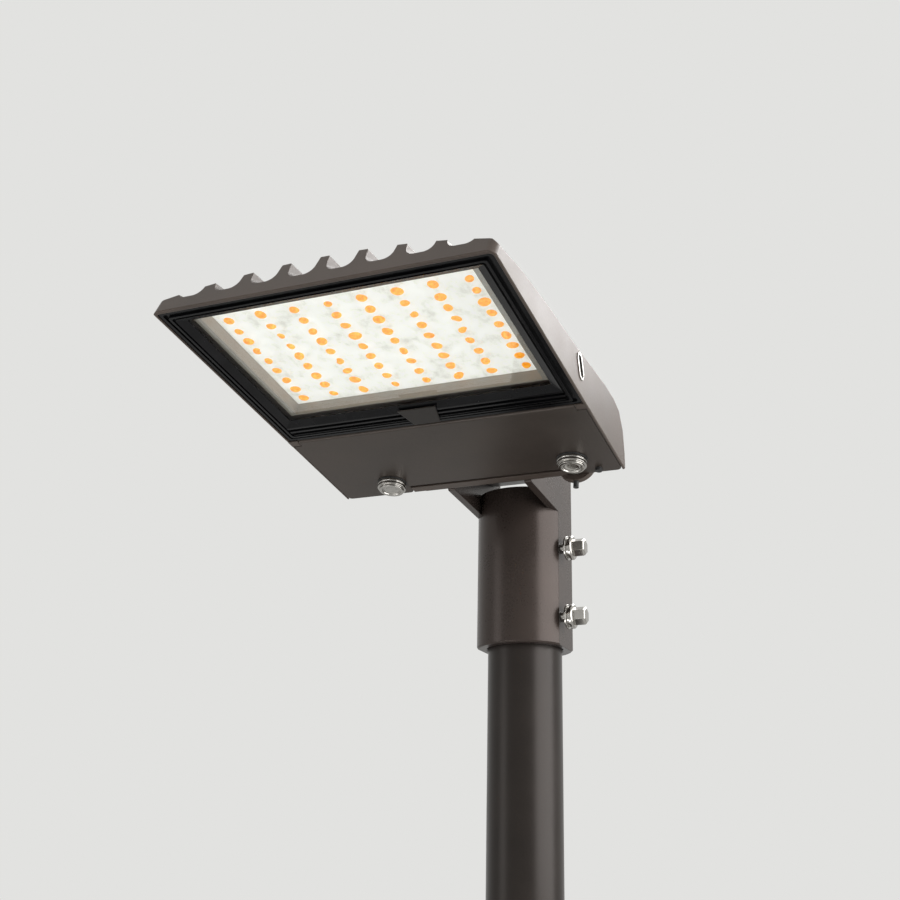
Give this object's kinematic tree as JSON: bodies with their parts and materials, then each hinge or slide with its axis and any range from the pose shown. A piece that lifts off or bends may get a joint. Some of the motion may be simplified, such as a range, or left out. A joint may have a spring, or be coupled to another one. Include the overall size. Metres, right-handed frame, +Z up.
{
  "type": "shoebox area light",
  "caption": "Flat area light head with a flush lens window, cooling fins and a driver door, tilting on a slip fitter clamped to a round pole.",
  "frame": {"origin": "centre of the pole's lower end", "axes": "+Z up along the pole, the lamp head reaches forward along -Y, +X to the right of someone who faces +Y"},
  "size_m": [0.2312, 0.4145, 0.3883],
  "materials": {
    "bronze_casting": "satin dark bronze powder coat",
    "bronze_door": "satin dark bronze powder coat",
    "fitter_paint": "satin dark bronze powder coat",
    "pole_paint": "satin black powder coat",
    "polished_steel": "polished stainless steel",
    "brushed_fasteners": "stainless steel, plain",
    "frame_gloss": "gloss black moulding",
    "window_glass": "clear toughened glass",
    "reflector_beige": "satin warm grey",
    "reflector_white": "white reflector film, soft cloudy relief",
    "led_yellow": "orange-yellow phosphor domes",
    "board_laminate": "white solder mask on aluminium",
    "thermal_grey": "soft grey pad",
    "seal_rubber": "black silicone",
    "black_moulding": "black nylon",
    "driver_case": "satin aluminium case",
    "lead_jacket": "red jacket"
  },
  "bodies": {
    "pole": {"pole_section": "pole_paint"},
    "fitter": {"slip_fitter": "fitter_paint", "set_bolt_washers": "polished_steel", "set_bolt_spring_washers": "polished_steel", "tilt_pivot_bolt": "brushed_fasteners", "tilt_pivot_nut": "brushed_fasteners", "tilt_pivot_washers": "brushed_fasteners", "pole_cap_bushing": "seal_rubber"},
    "set_bolt_lower": {"set_bolt_lower": "polished_steel"},
    "set_bolt_upper": {"set_bolt_upper": "polished_steel"},
    "head": {"tilt_arm": "fitter_paint", "arm_bolts": "brushed_fasteners", "arm_bolt_washers": "brushed_fasteners", "arm_gasket": "seal_rubber", "friction_washers": "brushed_fasteners", "housing": "bronze_casting", "lens_frame": "frame_gloss", "lens_glass": "window_glass", "lens_gasket": "seal_rubber", "reflector_frame": "reflector_beige", "reflector_sheet": "reflector_white", "led_board": "board_laminate", "thermal_pad": "thermal_grey", "leds": "led_yellow", "board_screws": "brushed_fasteners", "frame_clip": "bronze_casting", "led_driver": "driver_case", "driver_screws": "brushed_fasteners", "surge_protector": "black_moulding", "terminal_block": "black_moulding", "led_lead": "lead_jacket", "side_eyelet": "polished_steel", "side_eyelet_plug": "black_moulding", "lanyard_stud": "black_moulding"},
    "door": {"driver_door": "bronze_door", "door_hinge_pins": "brushed_fasteners", "door_gasket": "seal_rubber", "thumb_washers": "black_moulding", "breather_vent": "black_moulding"},
    "thumb_left": {"thumb_screw_left": "polished_steel"},
    "thumb_right": {"thumb_screw_right": "polished_steel"}
  },
  "joints": [
    {"name": "fitter_swivel", "type": "hinge", "parent": "pole", "child": "fitter", "pos_m": [0, 0, 0.21], "axis": [0, 0, 1], "continuous": true},
    {"name": "head_tilt", "type": "hinge", "parent": "fitter", "child": "head", "pos_m": [0, 0, 0.37], "axis": [-1, 0, 0], "range_deg": [-9, 81]},
    {"name": "door_hinge", "type": "hinge", "parent": "head", "child": "door", "pos_m": [0, -0.19759, 0.33752], "axis": [-1, 0, 0], "range_deg": [0, 100]},
    {"name": "thumb_turn_left", "type": "hinge", "parent": "door", "child": "thumb_left", "pos_m": [-0.066, -0.12247, 0.3234], "axis": [0, 0.1564, 0.9877], "continuous": true},
    {"name": "thumb_turn_right", "type": "hinge", "parent": "door", "child": "thumb_right", "pos_m": [0.082, -0.12741, 0.32418], "axis": [0, 0.1564, 0.9877], "continuous": true},
    {"name": "set_bolt_turn_lower", "type": "hinge", "parent": "fitter", "child": "set_bolt_lower", "pos_m": [0.0352, -0.012, 0.233], "axis": [1, 0, 0], "continuous": true},
    {"name": "set_bolt_turn_upper", "type": "hinge", "parent": "fitter", "child": "set_bolt_upper", "pos_m": [0.0352, -0.012, 0.2895], "axis": [1, 0, 0], "continuous": true}
  ]
}
